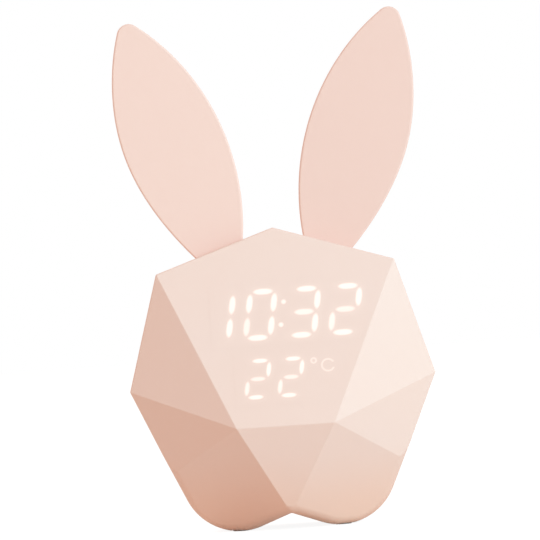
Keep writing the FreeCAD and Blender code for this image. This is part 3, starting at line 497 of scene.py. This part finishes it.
black_moulding = plain_finish("black_moulding", (0.02, 0.02, 0.021), 0.5)
clear_guide = plain_finish("clear_guide", (0.86, 0.86, 0.84), 0.25)
board_resist = plain_finish("board_resist", (0.02, 0.16, 0.07), 0.35, scale=FINE_SCALE)
led_phosphor = plain_finish("led_phosphor", (0.85, 0.72, 0.3), 0.3)
zinc_steel = plain_finish("zinc_steel", (0.62, 0.61, 0.59), 0.34, metallic=1.0, scale=METAL_SCALE)
flat_cable = plain_finish("flat_cable", (0.7, 0.69, 0.66), 0.45)
dress(black_moulding, "display_mask", "display_connector")
dress(clear_guide, "time_light_guides", "temperature_light_guides", "colon_light_guides",
      "unit_light_guides")
dress(board_resist, "display_board")
dress(led_phosphor, "display_leds")
dress(zinc_steel, "display_screws")
dress(flat_cable, "ribbon_cable")


# Main board
# A green board on four posts of the rear shell, with a black chip, a clock crystal, a small
# microphone and the four button switches. The charging inlet is a folded steel shell on it.

dress(board_resist, "main_board")
dress(black_moulding, "controller_chip", "button_switches", "ribbon_connector", "usb_tongue")
dress(zinc_steel, "main_board_screws", "clock_crystal", "microphone", "usb_port")


# Battery
# A flat cell wrapped in foil, held to the main board by a pad of grey foam. Its red leads end in
# a white nylon plug.

pouch_foil = plain_finish("pouch_foil", (0.62, 0.63, 0.66), 0.3, metallic=0.8)
grey_foam = plain_finish("grey_foam", (0.12, 0.12, 0.12), 0.95, scale=PAPER_SCALE)
red_lead = plain_finish("red_lead", (0.45, 0.02, 0.02), 0.5)
white_nylon = plain_finish("white_nylon", (0.82, 0.8, 0.75), 0.5)
dress(pouch_foil, "battery")
dress(grey_foam, "battery_pad")
dress(red_lead, "battery_leads")
dress(white_nylon, "battery_plug")


# Speaker
# A small round speaker with a steel basket and a black paper cone. A ring of foam seals it to the
# rear shell's grille, and its two leads plug into the main board.

cone_paper = plain_finish("cone_paper", (0.05, 0.05, 0.052), 0.9, scale=PAPER_SCALE)
dress(zinc_steel, "speaker")
dress(cone_paper, "speaker_cone")
dress(grey_foam, "speaker_gasket")
dress(red_lead, "speaker_leads")
dress(white_nylon, "speaker_plug")


# Night light
# A narrow board with three LEDs under an opal cover, which lights the head from inside. Two
# screws hold it to posts of the rear shell.

opal_cover = plain_finish("opal_cover", (0.9, 0.89, 0.85), 0.4)
dress(board_resist, "night_light_board")
dress(led_phosphor, "night_light_leds")
dress(opal_cover, "light_diffuser")
dress(zinc_steel, "night_light_screws")
dress(red_lead, "night_light_leads")
dress(white_nylon, "night_light_plug")


# Temperature sensor
# A drop of black epoxy on two steel wires, which hold it behind the rear shell's vents, away
# from the warmth of the board.

sensor_epoxy = plain_finish("sensor_epoxy", (0.03, 0.03, 0.035), 0.25)
dress(sensor_epoxy, "temperature_sensor")
dress(zinc_steel, "sensor_legs")


# Buttons
# Four round caps of paler plastic in the flat rear, each on a black plunger over its switch. Each
# cap has one small symbol printed in brown: a clock, a bell, a note and a lamp.

CAP_PALE = (0.90, 0.80, 0.76)
CAP_DEEP = (0.87, 0.76, 0.71)
CAP_ROUGHNESS = 0.5
CAP_PLACES = {"clock": 0.021, "alarm": 0.007, "sound": -0.007, "light": -0.021}
CAP_HEIGHT = 0.044
CAP_FACE_Y = 0.0298
PRINT_LIFT = 0.00004
DISC_STEPS = 24
RING_STEPS = 32
DOME_STEPS = 12
MM = 0.001


def disc(bm, across, up, radius):
    """Round dot."""
    bmesh.ops.create_circle(bm, cap_ends=True, segments=DISC_STEPS, radius=radius,
                            matrix=Matrix.Translation((across, up, 0)))


def ring(bm, across, up, outer, inner):
    """Flat ring between two circles."""
    edges = []
    for radius in (outer, inner):
        circle = bmesh.ops.create_circle(bm, cap_ends=False, segments=RING_STEPS, radius=radius,
                                         matrix=Matrix.Translation((across, up, 0)))
        edges += {edge for vert in circle["verts"] for edge in vert.link_edges}
    bmesh.ops.bridge_loops(bm, edges=edges)


def bar(bm, x0, y0, x1, y1, width):
    """Straight bar from one point to another."""
    run = Vector((x1 - x0, y1 - y0, 0))
    middle = Matrix.Translation(((x0 + x1) / 2, (y0 + y1) / 2, 0))
    turn = Matrix.Rotation(math.atan2(run.y, run.x), 4, "Z")
    bmesh.ops.create_grid(bm, x_segments=1, y_segments=1, size=0.5,
                          matrix=middle @ turn @ Matrix.Diagonal((run.length, width, 1, 1)))


def bell(bm, radius, up, *skirt):
    """Half-round dome that opens into a skirt."""
    outline = [bm.verts.new((radius, up, 0))]
    bmesh.ops.spin(bm, geom=outline, cent=(0, up, 0), axis=(0, 0, 1), angle=math.pi,
                   steps=DOME_STEPS)
    outline = list(bm.verts) + [bm.verts.new((*corner, 0)) for corner in skirt]
    bm.faces.new(outline)


def flag(bm, *corners):
    """Slanting flag with four corners."""
    bm.faces.new([bm.verts.new((*corner, 0)) for corner in corners])


# Millimetres across and up from the cap's middle, as seen from behind.
SYMBOLS = {
    "clock": [(ring, 0, 0, 2.0, 1.65), (bar, 0, -0.15, 0, 1.2, 0.34),
              (bar, -0.1, 0, 0.95, 0, 0.34)],
    "alarm": [(bell, 1.25, 0.35, (-1.35, -0.6), (-1.85, -1.15), (1.85, -1.15), (1.35, -0.6)),
              (disc, 0, -1.6, 0.38), (disc, 0, 1.78, 0.26)],
    "sound": [(disc, -0.55, -1.3, 0.7), (bar, 0, -1.3, 0, 1.7, 0.32),
              (flag, (-0.16, 1.85), (-0.16, 1.2), (1.25, 0.35), (1.25, 0.95))],
    "light": [(ring, 0, 0.5, 1.45, 1.12), (bar, -0.6, -1.15, 0.6, -1.15, 0.3),
              (bar, -0.45, -1.65, 0.45, -1.65, 0.3)],
}
cap_plastic = moulded_plastic("cap_plastic", CAP_PALE, CAP_DEEP, CAP_ROUGHNESS)
plunger_plastic = plain_finish("plunger_plastic", (0.03, 0.03, 0.03), 0.4)
cap_ink = plain_finish("cap_ink", (0.30, 0.20, 0.17), 0.6, scale=PAPER_SCALE)
upright = Matrix.Rotation(math.pi, 4, "Z") @ Matrix.Rotation(math.radians(90), 4, "X")
for name, across in CAP_PLACES.items():
    dress(cap_plastic, name + "_button")
    dress(plunger_plastic, name + "_plunger")
    bm = bmesh.new()
    for mark, *sizes in SYMBOLS[name]:
        mark(bm, *sizes)
    onto_cap = Matrix.Translation((across, CAP_FACE_Y + PRINT_LIFT, CAP_HEIGHT))
    bmesh.ops.transform(bm, matrix=onto_cap @ upright @ Matrix.Scale(MM, 4), verts=bm.verts)
    for face in bm.faces:
        face.normal_update()
    inward = [face for face in bm.faces if face.normal.y < 0]
    bmesh.ops.reverse_faces(bm, faces=inward)
    mesh = bpy.data.meshes.new(name + "_symbol")
    bm.to_mesh(mesh)
    bm.free()
    mesh.materials.append(cap_ink)
    symbol = placed(name + "_symbol", mesh)
    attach(symbol, name + "_button")


# Screws, magnets and pads
# Four plated screws close the shells from behind, and four soft rubber pads sit in the soles. Two
# nickel-plated discs in rings inside the rear wall let the clock cling to steel.

RUBBER_SCALE = 700.0

nickel_magnet = plain_finish("nickel_magnet", (0.7, 0.69, 0.66), 0.2, metallic=1.0)
pad_rubber = plain_finish("pad_rubber", (0.62, 0.58, 0.56), 0.85, scale=RUBBER_SCALE)
dress(zinc_steel, "shell_screws")
dress(nickel_magnet, "rear_magnets")
dress(pad_rubber, "foot_pads")
